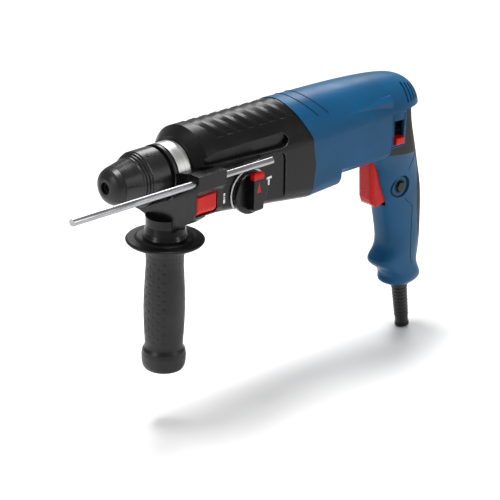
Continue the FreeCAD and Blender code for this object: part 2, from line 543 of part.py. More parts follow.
def motor_housing():
    outside = handle_loft(0)
    inside = handle_loft(HANDLE_WALL)
    skin_inside = handle_loft(GRIP_SKIN)
    solid_top = fuse(barrel(0), front_block(0), panel_block(0))
    hollow = [barrel(SHELL_WALL), front_block(SHELL_WALL), panel_block(SHELL_WALL)]

    below_hump = cut(outside, box(180, 400, -60, 60, HUMP_FLOOR_Z, 60), panel_block(0))
    grip_zone = skin_region()
    skin = below_hump.cut(skin_inside).common(grip_zone)
    node("soft_grip", skin)

    deep_zone = handle_loft(HANDLE_WALL + GRIP_SKIN).common(grip_zone)
    plain_zone = inside.cut(grip_zone)
    split = cover_region()
    cover = cut(outside.common(split), skin, plain_zone, deep_zone)
    node("handle_cover", cover)
    core = cut(fuse(solid_top, outside), skin, *hollow, plain_zone, deep_zone, split)

    bridge = fuse(box(300, 307, -7, 7, PANEL_BELLY_Z + 1.5, 29.3),
                  cyl_x(12.0, 300, 307, 0, MOTOR_Z))
    roof = box(284, 304, -20, 20, -41.5, PANEL_BELLY_Z + 2).common(handle_loft(GRIP_SKIN + 0.3))
    bosses = [cyl_x(SCREW_R + 2.2, 197, 207.5, y, z) for y, z in SCREW_SPOTS]
    seat = box(322, CABLE_SEAT_X, -20, 20, -150, -142).common(handle_loft(HANDLE_WALL / 2))
    core = core.fuse([bridge, roof, seat] + bosses)
    cuts = [cyl_x(REAR_ARM_R, 299, 308, 0, MOTOR_Z), box(PLATE_X, 299.8, -14, 14, -36, 4)]
    for y, z in SCREW_SPOTS:
        cuts.append(cyl_x(SCREW_R + 0.15, 190, 208, y, z))
        cuts.append(cyl_x(SCREW_HEAD_R + 0.2, SCREW_HEAD_X, 209, y, z))
    cuts.append(box(284, 330, -TRIGGER_HALF - 0.4, TRIGGER_HALF + 0.4, -92.4, -41.5))
    window = box(LEVER_X0 - 0.6, LEVER_X1 + 0.6, -40, -18, LEVER_Z - 3.8,
                 LEVER_Z + LEVER_TRAVEL + 4.2)
    cuts.append(window)
    cuts.append(box(PLATE_X, LEVER_X0 + 2, PIN_Y - 1.9, PIN_Y + 1.9, LEVER_Z - 3.2,
                    LEVER_Z + LEVER_TRAVEL + 3.2))
    for k in range(3):
        slot_x = LEVER_X0 + 2.0 + k * 3.4
        cuts.append(box(slot_x - 0.9, slot_x + 0.9, 18, 40, -29, -3))
    for k in range(4):
        slot_x = 318.0 + k * 5.2
        slot = box(slot_x, slot_x + 2.2, -40, 40, 8.0, 24.0 - k * 1.5)
        cuts.append(slot.cut(box(300, 350, -12, 12, 0, 60)))
    cuts.append(cyl_y(LOCK_R + 0.3, -30, -8, LOCK_X, LOCK_Z))
    lock_face = HANDLE_LOCK_Y
    cuts.append(cyl_y(LOCK_RECESS_R, -30, lock_face + 1.2, LOCK_X, LOCK_Z))
    cuts.append(cord_rod(SLEEVE_TOP_R + 0.1, -20.0, 40.0))
    cuts.append(cord_rod(9.5, 4.9, 40.0))
    cuts += [cyl_x(1.6, CABLE_SEAT_X - 6, CABLE_SEAT_X + 1, y, -146.0) for y in (8.0, -8.0)]
    node("motor_housing", core.cut(cuts).common(seam_region(True)))


def cord_rod(radius, start, end, tip_radius=None):
    """A round rod along the line of the cord, between two distances from CORD_TOP."""
    along = (CORD_TIP - CORD_TOP).normalize()
    origin = CORD_TOP + along * start
    if tip_radius is None:
        return Part.makeCylinder(radius, end - start, origin, along)
    return Part.makeCone(radius, tip_radius, end - start, origin, along)


# ---- motor ------------------------------------------------------------------------------------
def motor():
    z = MOTOR_Z
    shaft = turned_x([(193.4, 0), (193.4, 2.28), (198.0, 2.28), (198.0, 4.0 - RUN_FIT),
                      (206.5, 4.0 - RUN_FIT), (206.5, MOTOR_SHAFT_R), (299.4, MOTOR_SHAFT_R),
                      (299.4, 4.0 - RUN_FIT), (MOTOR_SHAFT_END, 4.0 - RUN_FIT),
                      (MOTOR_SHAFT_END, 0)], z)
    pinion = toothed(MOTOR_TEETH, MOTOR_MODULE, 183.2, 194.0, z, True)
    node("armature_shaft", fuse(shaft, pinion))
    core_x0, core_x1 = STATOR_START + 1.5, STATOR_END - 1.5
    core = ring_x(ARMATURE_R, MOTOR_SHAFT_R, core_x0, core_x1, 0, z)
    for k in range(12):
        angle = 2 * math.pi * k / 12
        slot = box(core_x0 - 1, core_x1 + 1, -0.9, 0.9, ARMATURE_R - 2.5, ARMATURE_R + 1)
        slot.rotate(Vec(0, 0, 0), Vec(1, 0, 0), math.degrees(angle))
        slot.translate(Vec(0, 0, z))
        core = core.cut(slot)
    node("armature_core", core)
    heads = [turned_x([(core_x0 - 1.6 + 0.0, MOTOR_SHAFT_R), (core_x0 - 1.6, 14.0),
                       (core_x0, 16.5), (core_x0, MOTOR_SHAFT_R)], z),
             turned_x([(core_x1, MOTOR_SHAFT_R), (core_x1, 16.5), (core_x1 + 6, 15.5),
                       (core_x1 + 8.5, 12.0), (core_x1 + 8.5, MOTOR_SHAFT_R)], z)]
    node("armature_windings", group(heads))
    bars = [ring_x(COMMUTATOR_R, MOTOR_SHAFT_R, COMMUTATOR_START, COMMUTATOR_END, 0, z),
            ring_x(COMMUTATOR_R + 1.2, MOTOR_SHAFT_R, COMMUTATOR_START - 3, COMMUTATOR_START, 0, z)]
    node("commutator", fuse(*bars))
    hub = fuse(ring_x(8.0, MOTOR_SHAFT_R, FAN_START, FAN_START + FAN_WIDTH, 0, z),
               ring_x(FAN_R, 8.0, FAN_START + FAN_WIDTH - 1.4, FAN_START + FAN_WIDTH, 0, z))
    blades = []
    for k in range(11):
        blade = box(FAN_START, FAN_START + FAN_WIDTH, -0.7, 0.7, 7.5, FAN_R)
        blade.rotate(Vec(0, 0, 0), Vec(1, 0, 0), 360.0 * k / 11)
        blade.translate(Vec(0, 0, z))
        blades.append(blade)
    node("cooling_fan", fuse(hub, *blades).common(cyl_x(FAN_R, 200, 220, 0, z)))

    gap_r = ARMATURE_R + AIR_GAP
    stator = ring_x(STATOR_R, gap_r, STATOR_START, STATOR_END, 0, z)
    lead = 8.5
    flats = [box(210, 270, -40, 40, z + side * 26.5 - (0 if side > 0 else 10),
                 z + side * 26.5 + (10 if side > 0 else 0)) for side in (1, -1)]
    node("stator_core", cut(stator, *flats))
    coils = []
    for x0, x1 in ((STATOR_END, STATOR_END + lead), ):
        for side in (1, -1):
            half = ring_x(26.0, gap_r + 0.4, x0, x1, 0, z)
            low, high = (3, 40) if side > 0 else (-40, -3)
            keep = box(x0 - 1, x1 + 1, -40, 40, z + low, z + high)
            coils.append(half.common(keep))
    node("field_coils", group(coils))
    baffle = ring_x(27.6, 25.0, FAN_START - 1.0, STATOR_START - 0.2, 0, z)
    node("air_baffle", baffle)
    node("armature_front_bearing", group(ball_bearing(10.5, 4.0, 199.0, 206.3, z, 8)))
    boot = ring_x(REAR_ARM_R, 8.0, 300.2, 306.8, 0, z)
    node("armature_rear_bearing", group(ball_bearing(8.0, 4.0, 300.2, 306.8, z, 8) + [boot]))

    reach = BODY_R - GEAR_WALL
    plate = body_loft([(x, reach - 0.3, reach - 0.3, belly_z(190) + BELLY_WALL + 0.4, 8.5)
                       for x in (FLANGE_START, FLANGE_START + FLANGE_PLATE)])
    seat = cyl_x(13.0, FLANGE_START + 1, 206.3, 0, z)
    flange = cut(fuse(plate, seat), cyl_x(10.5, 199.0, 210, 0, z),
                 cyl_x(6.0, 190, 200, 0, z),
                 cyl_x(COUNTER_BEARING_R, 190, FLANGE_START + FLANGE_PLATE + 1, 0, COUNTER_Z))
    for y, sz in SCREW_SPOTS:
        flange = flange.cut(cyl_x(SCREW_R + 2.4, 190, 210, y, sz))
    node("bearing_flange", flange)


def brush_gear():
    z = MOTOR_Z
    plate = ring_x(PLATE_R, MOTOR_SHAFT_R + 2.0, PLATE_X, PLATE_X + PLATE_THICK, 0, z)
    legs = box(PLATE_X, PLATE_X + PLATE_THICK, -25.5, 25.5, z - 4.6, z + 4.6)
    plate = fuse(plate, legs.cut(cyl_x(PLATE_R - 0.5, PLATE_X - 1, PLATE_X + 10, 0, z)))
    start = math.atan2(LEVER_Z - z, -PIN_Y)
    prong_gap, prong_w, prong_out = 2.9, 1.8, 26.0
    prongs = []
    for side in (1, -1):
        prong = box(PLATE_X, PLATE_X + PLATE_THICK, -prong_out, -PLATE_R + 1.5,
                    side * prong_gap if side > 0 else -prong_gap - prong_w,
                    prong_gap + prong_w if side > 0 else -prong_gap)
        prong.rotate(Vec(0, 0, 0), Vec(1, 0, 0), -math.degrees(start))
        prong.translate(Vec(0, 0, z))
        prongs.append(prong)
    node("brush_plate", fuse(plate, *prongs))
    holders, brushes, springs = [], [], []
    for side in (1, -1):
        y0, y1 = (13.0, 25.5) if side > 0 else (-25.5, -13.0)
        case = box(277.0, PLATE_X, y0, y1, z - 4.6, z + 4.6)
        slot = box(278.2, 286.8, y0 - 1, y1 + 1, z - 3.4, z + 3.4)
        holders.append(case.cut(slot))
        b0, b1 = (12.2, 21.0) if side > 0 else (-21.0, -12.2)
        brushes.append(box(278.3, 286.7, b0, b1, z - 3.3, z + 3.3))
        s0, s1 = (21.0, 25.3) if side > 0 else (-25.3, -21.0)
        springs.append(cyl_y(2.2, s0, s1, 282.5, z))
    node("brush_holders", group(holders))
    node("carbon_brushes", group(brushes + springs))
    tab = box(LEVER_X0, LEVER_X1, -26.6, -18.6, LEVER_Z - 3.2, LEVER_Z + 3.2)
    tab = soften(tab, 1.2, lambda edge: edge.CenterOfMass.y < -26)
    arm = box(PLATE_X + PLATE_THICK + 1, LEVER_X0 + 3, PIN_Y - 1.4, PIN_Y + 1.4,
              LEVER_Z - 2.6, LEVER_Z + 2.6)
    pin = cyl_x(1.2, PLATE_X + 0.3, PLATE_X + PLATE_THICK + 2, PIN_Y, LEVER_Z)
    node("reversing_lever", fuse(tab, arm, pin))


# ---- handle contents --------------------------------------------------------------------------
def handle_parts():
    outline = [(297.4, -42), (297.8, -60), (299.4, -83.0), (301.2, -87.6), (304.6, -90.8),
               (309.0, -90.6), (317.5, -87.5), (317.5, -42)]
    trigger = prism_y(outline, -TRIGGER_HALF, TRIGGER_HALF)
    trigger = soften(trigger, 4.5, lambda e: e.CenterOfMass.x < 301
                     and abs(abs(e.CenterOfMass.y) - TRIGGER_HALF) < 0.1)
    plunger = cyl_x(3.0, 316.0, 328.0, 0, -66.0)
    node("trigger", fuse(trigger, plunger))
    switch = box(325.0, 344.6, -10.8, 10.8, -88.0, -50.0)
    node("switch_body", switch.cut(cyl_x(3.1, 320.0, 340.0, 0, -66.0)))
    face = HANDLE_LOCK_Y
    button = cyl_y(LOCK_R, face - 0.9, -13.3, LOCK_X, LOCK_Z)
    node("lock_button", soften(button, 0.8, lambda e: e.CenterOfMass.y < face - 0.8))
    node("electronics_module", box(324.8, 338.2, -9.5, 9.5, -46.0, -24.0))
    node("capacitor", cyl_z(7.0, -118.0, -94.0, 352.6))

    length = (CORD_TIP - CORD_TOP).Length
    tube = fuse(cord_rod(SLEEVE_TOP_R, -8.0, length, SLEEVE_TIP_R), cord_rod(9.3, -4.2, -1.2),
                cord_rod(9.3, 5.2, 8.6), cord_rod(SLEEVE_TIP_R + 0.7, length - 2.2, length))
    node("cord_sleeve", tube.cut(cord_rod(CABLE_R, -20.0, 80.0)))
    bar = box(344.4, 347.2, -11.0, 11.0, -150.0, -142.0)
    screws = [fuse(cyl_x(1.6, CABLE_SEAT_X - 6, 347.2, y, -146.0), cyl_x(3.0, 347.2, 349.4, y, -146.0))
              for y in (8.0, -8.0)]
    node("cable_clamp", group([cut(bar, *screws)] + screws))


# ---- mode selector ----------------------------------------------------------------------------
def selector():
    face = -BODY_R - 0.3
    disc = soften(cyl_y(KNOB_R, face - 3.5, face + 1.0, KNOB_X, KNOB_Z), 1.2,
                  lambda e: e.CenterOfMass.y < face - 3)
    bar_half, bar_out = 5.5, face - 11.0
    bar = box(KNOB_X - bar_half, KNOB_X + bar_half, bar_out, face - 1, KNOB_Z - 14.0,
              KNOB_Z + 16.5)
    bar = soften(bar, 3.0, lambda e: e.CenterOfMass.z < KNOB_Z - 13.9
                 and (e.CenterOfMass.y < bar_out + 0.1 or abs(e.CenterOfMass.x - KNOB_X) > 5))
    shaft = cyl_y(KNOB_SHAFT_R, face - 1, -22.5, KNOB_X, KNOB_Z)
    pin = cyl_y(1.5, -23.0, -18.5, KNOB_X, KNOB_Z + 2.0)
    pocket = box(KNOB_X - 6, KNOB_X + 6, face - 12, face - 3.9, KNOB_Z + 13.2, KNOB_Z + 17)
    mark = prism_y([(KNOB_X - 2.4, KNOB_Z + 2.5), (KNOB_X + 2.0, KNOB_Z + 2.5),
                    (KNOB_X + 0.2, KNOB_Z + 11.5)], bar_out - 0.1, bar_out + 0.6)
    node("selector_knob", cut(fuse(disc, bar, shaft, pin), pocket, mark))
    node("selector_pointer", mark.cut(box(100, 150, bar_out - 2, bar_out, -60, 20)))
    button = box(KNOB_X - bar_half, KNOB_X + bar_half, bar_out + 0.2, face - 6.2,
                 KNOB_Z + 13.5, KNOB_Z + 19.4)
    node("selector_button", soften(button, 2.0, lambda e: e.CenterOfMass.z > KNOB_Z + 19.3))


# ---- side handle ------------------------------------------------------------------------------
def side_handle():
    strap_in = NECK_R + LOOSE_FIT
    strap_out = strap_in + STRAP_WALL
    node("clamp_strap", ring_x(strap_out, strap_in, CLAMP_X0 + 0.2, CLAMP_X1))
    guide_in = -35.9
    outline = [(-16.0, -48), (16.0, -48), (17.5, -41), (24.0, -39.4), (29.5, -39.0),
               (30.6, -37.2), (27.0, -31.0), (26, -8), (strap_out + 0.1, 2),
               (-strap_out - 0.1, 6), (guide_in + 1, 8.5), (-46, 8.5), (-46, -4), (-42.2, -9),
               (-42.2, -24), (-39.0, -30), (-32.0, -35.6), (-17.5, -41)]
    yoke = prism_x(outline, CLAMP_X0, CLAMP_X1)
    yoke = soften(yoke, 1.2, lambda e: abs(e.CenterOfMass.x - CLAMP_X) < 0.1
                  and e.CenterOfMass.z < -25)
    guide = prism_x([(guide_in, -28), (guide_in, 8.5), (-46, 8.5), (-46, -4), (-42.2, -9), (-42.2, -24),
                     (-39, -29)], CLAMP_X1 - 1, ROD_GUIDE_END)
    foot = turned_z([(0, -55.6), (18.6, -55.6), (17.4, -52), (16.2, -46), (16.2, -38.5), (0, -38.5)],
                    CLAMP_X)
    foot = foot.common(box(40, CLAMP_X1 + 6.4, -40, 40, -60, -30))
    body = fuse(yoke, guide, foot)
    pocket = box(58.4, 80.6, -60, -30, -27.4, -9.2)
    body = cut(body, cyl_x(strap_out + 0.02, 50, CLAMP_X1 + 0.5),
               cyl_x(ROD_R + 0.1, 50, 100, ROD_Y, ROD_Z),
               pocket.common(box(50, 90, -60, -33.0, -60, 20)),
               cyl_z(GRIP_BOLT_R, -60, -26, CLAMP_X), cyl_z(6.6, -28.1, 0, CLAMP_X))
    node("clamp_body", body)
    bolt = fuse(cyl_z(GRIP_BOLT_R, -95, -28, CLAMP_X),
                cyl_z(6.5, -28, -26 + 0.4, CLAMP_X).common(box(40, 90, -20, 20, -28, -24)))
    node("clamp_bolt", bolt.cut(cyl_x(strap_out + 0.02, 50, CLAMP_X1 + 0.5)))

    teeth = []
    rod = cyl_x(ROD_R, ROD_START, ROD_START + ROD_LENGTH, ROD_Y, ROD_Z)
    pitch = 2.0
    for k in range(int(ROD_LENGTH / pitch) - 8):
        x = ROD_START + 8 + k * pitch
        teeth.append(box(x, x + pitch * 0.5, ROD_Y - 4, ROD_Y + 4, ROD_Z - 4, ROD_Z - 2.45))
    node("depth_rod", rod.cut(Part.makeCompound(teeth)))
    button = box(58.8, 80.2, -42.4, -38.2, -27.0, -9.6)
    node("release_button", soften(button, 1.0, lambda e: e.CenterOfMass.y < -42.3))

    top = GRIP_DISC_Z
    profile = [(GRIP_BOLT_R + 0.1, top + 3.0), (24, top + 3.0), (GRIP_DISC_R - 1, top + 1.4),
               (GRIP_DISC_R, top), (GRIP_DISC_R - 1, top - 1.6), (20, top - 5), (16.0, top - 12),
               (15.6, top - 22), (16.8, top - 45), (17.2, top - 60), (16.4, top - 82),
               (15.8, top - 92), (17.8, top - 97), (18.5, top - 102), (18.3, top - 108),
               (16.5, top - 113), (12.0, GRIP_END_Z), (0, GRIP_END_Z), (0, -100),
               (GRIP_BOLT_R + 0.1, -100)]
    node("side_grip", turned_z(profile, CLAMP_X))


# ---- build ------------------------------------------------------------------------------------
def main():
    chuck()
    hammer()
    counter_shaft()
    gear_housing()
    motor()
    motor_housing()
    brush_gear()
    handle_parts()
    selector()
    side_handle()
    os.makedirs("parts", exist_ok=True)
    for name, shape in NODES.items():
        shape.exportStep("parts/" + name + ".step")


main()
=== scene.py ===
import bpy
import math
from mathutils import Matrix, Vector


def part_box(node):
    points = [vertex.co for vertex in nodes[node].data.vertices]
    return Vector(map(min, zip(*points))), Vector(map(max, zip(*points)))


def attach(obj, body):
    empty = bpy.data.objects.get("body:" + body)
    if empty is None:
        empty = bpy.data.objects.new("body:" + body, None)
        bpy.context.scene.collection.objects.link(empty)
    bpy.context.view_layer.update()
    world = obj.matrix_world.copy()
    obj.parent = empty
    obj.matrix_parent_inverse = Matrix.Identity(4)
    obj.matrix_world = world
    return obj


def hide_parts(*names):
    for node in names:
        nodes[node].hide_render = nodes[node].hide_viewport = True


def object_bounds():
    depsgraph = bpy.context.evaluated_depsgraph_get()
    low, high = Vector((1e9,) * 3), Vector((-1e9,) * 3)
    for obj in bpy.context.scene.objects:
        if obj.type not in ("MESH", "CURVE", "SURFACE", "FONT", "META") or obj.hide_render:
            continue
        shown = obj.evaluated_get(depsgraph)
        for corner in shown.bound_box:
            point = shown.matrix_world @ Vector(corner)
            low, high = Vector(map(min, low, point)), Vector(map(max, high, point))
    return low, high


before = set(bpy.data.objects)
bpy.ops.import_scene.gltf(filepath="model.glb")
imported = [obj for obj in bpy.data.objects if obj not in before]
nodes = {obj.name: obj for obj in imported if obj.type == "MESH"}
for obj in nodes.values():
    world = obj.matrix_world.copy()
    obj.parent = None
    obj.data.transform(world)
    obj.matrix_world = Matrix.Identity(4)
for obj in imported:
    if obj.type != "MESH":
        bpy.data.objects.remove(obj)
cad_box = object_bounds()

# ---- studio --------------------------------------------------------------------------------------
# The tool stands over a pale paper floor just under its lowest point. Soft boxes hang above it, at
# both sides and behind, and a long lens looks from its left front. Lengths are metres.
MM = 0.001
FLOOR_Z = cad_box[0][2] - 1 * MM
FLOOR_WIDE = 12
CAMERA_AT = Vector((-1.0553, -1.2351, 0.6302))
CAMERA_AIM = Vector((0.1481, -0.0122, -0.0880))
CAMERA_ROLL = math.radians(1.635)
LENS_MM = 160.8

scene = bpy.context.scene
scene.view_settings.view_transform = "Standard"
world = bpy.data.worlds.new("studio_air")
scene.world = world
world.use_nodes = True
sky = world.node_tree.nodes["Background"]
sky.inputs["Color"].default_value = (1.0, 1.0, 1.0, 1)
sky.inputs["Strength"].default_value = 0.38


def let_go():
    """Deselect everything, so that the next operator works on its own piece alone."""
    bpy.ops.object.select_all(action="DESELECT")


let_go()
bpy.ops.mesh.primitive_plane_add(size=FLOOR_WIDE, location=(0.2, 0, FLOOR_Z))
floor = bpy.context.object
floor.name = "studio_floor"
paper = bpy.data.materials.new("backdrop_paper")
paper.use_nodes = True
paper_shader = paper.node_tree.nodes["Principled BSDF"]
paper_shader.inputs["Base Color"].default_value = (0.9, 0.9, 0.9, 1)
paper_shader.inputs["Roughness"].default_value = 0.9
floor.data.materials.append(paper)


def soft_box(name, place, width, height, power):
    """A rectangular studio light that faces what the camera looks at."""
    bpy.ops.object.light_add(type="AREA", location=place)
    lamp = bpy.context.object
    lamp.name = name
    lamp.data.shape = "RECTANGLE"
    lamp.data.size = width
    lamp.data.size_y = height
    lamp.data.energy = power
    lamp.rotation_euler = (CAMERA_AIM - Vector(place)).to_track_quat("-Z", "Y").to_euler()


soft_box("top_box", (0.0, 0.15, 1.35), 0.7, 0.4, 26)
soft_box("side_box", (0.75, -1.35, 0.55), 0.35, 1.0, 6)
soft_box("nose_box", (-1.3, 0.1, 0.45), 0.3, 0.9, 6)
soft_box("rear_box", (1.2, 0.9, 1.0), 0.9, 0.6, 10)

bpy.ops.object.camera_add(location=CAMERA_AT)
camera = bpy.context.object
camera.data.lens = LENS_MM
camera.data.clip_end = 50
aim = (CAMERA_AIM - CAMERA_AT).to_track_quat("-Z", "Y").to_matrix()
camera.rotation_euler = (aim @ Matrix.Rotation(CAMERA_ROLL, 3, "Z")).to_euler()
scene.camera = camera

# ---- gear housing --------------------------------------------------------------------------------
# The black front housing, moulded in glass-filled nylon over the hammer and its gears, is screwed to
# the motor housing. It has its mould's fine texture, and its colour and gloss vary a little.


def fresh_material(name):
    """A new material with its node tree and its surface shader."""
    material = bpy.data.materials.new(name)
    material.use_nodes = True
    tree = material.node_tree
    return material, tree, tree.nodes["Principled BSDF"]


def cloud(tree, scale, detail=2.0, stretch=(1, 1, 1)):
    """A soft noise on the object's own coordinates."""
    where = tree.nodes.new("ShaderNodeTexCoord")
    mapping = tree.nodes.new("ShaderNodeMapping")
    mapping.inputs["Scale"].default_value = stretch
    texture = tree.nodes.new("ShaderNodeTexNoise")
    texture.inputs["Scale"].default_value = scale
    texture.inputs["Detail"].default_value = detail
    tree.links.new(where.outputs["Object"], mapping.inputs["Vector"])
    tree.links.new(mapping.outputs["Vector"], texture.inputs["Vector"])
    return texture.outputs["Fac"]


def between(tree, source, dark, light):
    """A colour that runs from dark to light as the source rises."""
    ramp = tree.nodes.new("ShaderNodeValToRGB")
    ramp.color_ramp.elements[0].position = 0.3
    ramp.color_ramp.elements[0].color = dark
    ramp.color_ramp.elements[1].position = 0.7
    ramp.color_ramp.elements[1].color = light
    tree.links.new(source, ramp.inputs["Fac"])
    return ramp.outputs["Color"]


def grey(value):
    return (value, value, value, 1)


def shaded(colour, factor):
    return (colour[0] * factor, colour[1] * factor, colour[2] * factor, 1)


def emboss(tree, shader, height, depth):
    """A fine relief on the surface, depth metres deep."""
    node = tree.nodes.new("ShaderNodeBump")
    node.inputs["Distance"].default_value = depth
    tree.links.new(height, node.inputs["Height"])
    tree.links.new(node.outputs["Normal"], shader.inputs["Normal"])


def moulded(name, colour, rough, grain=1400.0, depth=0.05 * MM, shine=0.3):
    """A moulded plastic or rubber: clouded colour, uneven gloss and a fine mould grain."""
    material, tree, shader = fresh_material(name)
    shader.inputs["Specular IOR Level"].default_value = shine
    tint = between(tree, cloud(tree, 26.0, 4.0), shaded(colour, 0.86), shaded(colour, 1.14))
    tree.links.new(tint, shader.inputs["Base Color"])
    rub = between(tree, cloud(tree, 55.0, 3.0), grey(rough - 0.07), grey(rough + 0.07))
    tree.links.new(rub, shader.inputs["Roughness"])
    emboss(tree, shader, cloud(tree, grain), depth)
    return material


def finish(node, material):
    """Give a CAD node its finish."""
    for slot in nodes[node].material_slots:
        slot.material = material


BLACK = (0.0022, 0.0022, 0.0024)
black_nylon = moulded("black_nylon", BLACK, 0.27, 1300.0, 0.02 * MM, 0.25)
finish("gear_housing", black_nylon)


FAR_OUT = 0.2


def outside(node, x, z, side):
    """The point of a node's surface at a length and height, met from one side."""
    start = Vector((x, side * FAR_OUT, z))
    hit, place, normal, face = nodes[node].ray_cast(start, Vector((0, -side, 0)))
    return place if hit else None


def around(node, x, angle):
    """The point of a node's surface met from outside at an angle from the top about the spindle."""
    out = Vector((0, -math.sin(angle), math.cos(angle)))
    hit, place, normal, face = nodes[node].ray_cast(Vector((x, 0, 0)) + out * FAR_OUT, -out)
    return place if hit else None


def claim(piece, name, material, slot, body, *replaced):
    """Name a finished piece, apply its place, and say what it is made of and rides on."""
    piece.name = name
    piece.data.name = name
    let_go()
    piece.select_set(True)
    bpy.context.view_layer.objects.active = piece
    bpy.ops.object.transform_apply(location=True, rotation=True, scale=True)
    piece.data.materials.clear()
    piece.data.materials.append(material)
    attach(piece, body)
    if replaced:
        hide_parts(*replaced)
    return piece


def bead(name, points, radius, material, slot, body, closed=False):
    """A thin moulded line or groove lip that follows points on a surface."""
    line = bpy.data.curves.new(name, "CURVE")
    line.dimensions = "3D"
    line.bevel_depth = radius
    line.bevel_resolution = 2
    line.use_fill_caps = not closed
    run = line.splines.new("POLY")
    run.points.add(len(points) - 1)
    for point, place in zip(run.points, points):
        point.co = (place[0], place[1], place[2], 1)
    run.use_cyclic_u = closed
    piece = bpy.data.objects.new(name, line)
    scene.collection.objects.link(piece)
    let_go()
    piece.select_set(True)
    bpy.context.view_layer.objects.active = piece
    bpy.ops.object.convert(target="MESH")
    bpy.ops.object.shade_smooth()
    return claim(bpy.context.object, name, material, slot, body)


# The nine shingled ribs over the top: each crest is a rounded moulded edge that catches the light.
# They lean back from the top down to the sides. The near side is -Y, the far side +Y.
RIB_COUNT, RIB_PITCH, RIB_START, BODY_R = 9, 11.8 * MM, 90.0 * MM, 34.0 * MM
RIB_HALF_ANGLE = math.radians(40.5)
RIB_POINTS = 15
CREST_R = BODY_R - 0.35 * MM
black_gloss = moulded("black_gloss", BLACK, 0.2, 600.0, 0.01 * MM, 0.6)
for rib in range(RIB_COUNT):
    for side in (-1, 1):
        crest = []
        for step in range(RIB_POINTS):
            angle = side * RIB_HALF_ANGLE * step / (RIB_POINTS - 1)
            height = CREST_R * math.cos(angle)
            along = RIB_START + rib * RIB_PITCH + (BODY_R - height)
            crest.append((along, -CREST_R * math.sin(angle), height))
        hand = "near" if side > 0 else "far"
        bead(f"rib_crest_{hand}_{rib + 1}", crest, 0.55 * MM, black_gloss, "black_housing", "housing")

# The ledge along the foot of the long side scoop, and the lip at the rear of the recessed side
# panel. Both lines are given as length and height in millimetres, and laid on the housing.
SCOOP_LEDGE = [(76.0, 9.3), (100.0, 7.8), (130.0, 6.6), (160.0, 5.4), (165.6, 6.4), (168.4, 9.0),
               (169.0, 11.6), (167.2, 15.2), (162.0, 17.6)]
PANEL_RIM = [(150.0, 2.6), (158.5, 2.7), (161.8, 1.5), (163.8, -0.9), (164.8, -4.5), (165.1, -14.0),
             (165.4, -24.0), (165.6, -34.0)]
PANEL_LIP_BACK = 0.3 * MM
for side in (-1, 1):
    hand = "near" if side < 0 else "far"
    trail = [outside("gear_housing", x * MM, z * MM, side) for x, z in SCOOP_LEDGE]
    bead("scoop_lip_" + hand, trail, 0.4 * MM, black_gloss, "black_housing", "housing")
    trail = [outside("gear_housing", x * MM + PANEL_LIP_BACK, z * MM, side) for x, z in PANEL_RIM]
    bead("panel_lip_" + hand, trail, 0.3 * MM, black_gloss, "black_housing", "housing")

# ---- motor housing and rear handle cover ---------------------------------------------------------
# Blue nylon shells, moulded in two pieces: the barrel with the front of the handle, and the cover
# behind it. They are a little duller than the black, with painted shade along the seam where the pieces
# meet.
BLUE = (0.0020, 0.062, 0.150)
blue_nylon = moulded("blue_nylon", BLUE, 0.36, 1300.0, 0.03 * MM, 0.2)
finish("motor_housing", blue_nylon)
finish("handle_cover", blue_nylon)

# The dark blue beads along the seam, the grooves over the top and the ring round the lock button are
# painted shade.
BLUE_SHADE = (0.001, 0.010, 0.024)
seam_and_groove_shade = moulded("seam_and_groove_shade", BLUE_SHADE, 0.6, 900.0, 0.01 * MM, 0.2)
# Two grooves round the top of the barrel, drawn as dark beads: painted shade in the grooves.
GROOVE_START, GROOVE_HALF_ANGLE, GROOVE_SWEEP, GROOVE_POINTS = 196.6 * MM, math.radians(52), 0.9, 17
for groove in range(2):
    for side in (-1, 1):
        trail = []
        for step in range(GROOVE_POINTS):
            angle = side * GROOVE_HALF_ANGLE * step / (GROOVE_POINTS - 1)
            along = GROOVE_START + RIB_PITCH * groove + BODY_R * (1 - math.cos(angle)) * GROOVE_SWEEP
            trail.append(around("motor_housing", along, angle))
        hand = "near" if side > 0 else "far"
        bead(f"top_groove_shade_{hand}_{groove + 1}", trail, 0.45 * MM, seam_and_groove_shade, "blue_housing",
             "housing")

# The seam of the rear cover is drawn as dark beads: painted shade in the seam.
COVER_LINE = [(342.0, -44.0), (339.8, -50.0), (335.6, -56.5), (334.5, -62.0)]
COVER_LINE_LOW = [(334.0, -86.5), (337.0, -90.5), (342.5, -94.5), (345.2, -98.0), (345.6, -106.0),
                  (346.2, -120.0), (347.0, -135.0), (347.6, -149.0), (350.6, -156.0)]
COVER_LINE_CUTS = 4


def outermost(first, second, x, z, side):
    """The point of two nodes' surfaces that stands further out on one side."""
    place = outside(first, x, z, side)
    other = outside(second, x, z, side)
    if other and (place is None or abs(other.y) > abs(place.y)):
        return other
    return place


for side in (-1, 1):
    hand = "near" if side < 0 else "far"
    for part, line in (("upper", COVER_LINE), ("lower", COVER_LINE_LOW)):
        trail = []
        for (x0, z0), (x1, z1) in zip(line, line[1:]):
            for step in range(COVER_LINE_CUTS):
                share = step / COVER_LINE_CUTS
                place = outermost("motor_housing", "handle_cover", (x0 + (x1 - x0) * share) * MM,
                                  (z0 + (z1 - z0) * share) * MM, side)
                if place:
                    trail.append(place)
        bead(f"cover_seam_shade_{part}_{hand}", trail, 0.28 * MM, seam_and_groove_shade, "blue_housing", "housing")

# ---- opening of the reversing lever --------------------------------------------------------------
# A raised frame is moulded round the opening in the blue housing, and two dark louvre bars stand
# behind the lever's tab. The frame has four round corners and is laid on the housing.
frame_line = []
FRAME_ROUND = 2.4
CORNERS = ((318.2, -2.4, 0), (305.2, -2.4, 90), (305.2, -29.6, 180), (316.8, -29.6, 270))
for x, z, first in CORNERS:
    for angle in range(first, first + 91, 15):
        reach = math.radians(angle)
        frame_line.append((x + FRAME_ROUND * math.cos(reach), z + FRAME_ROUND * math.sin(reach)))
trail = [outermost("motor_housing", "soft_grip", x * MM, z * MM, -1) for x, z in frame_line]
bead("vent_frame", [place for place in trail if place], 0.75 * MM, blue_nylon, "blue_housing",
     "housing", True)

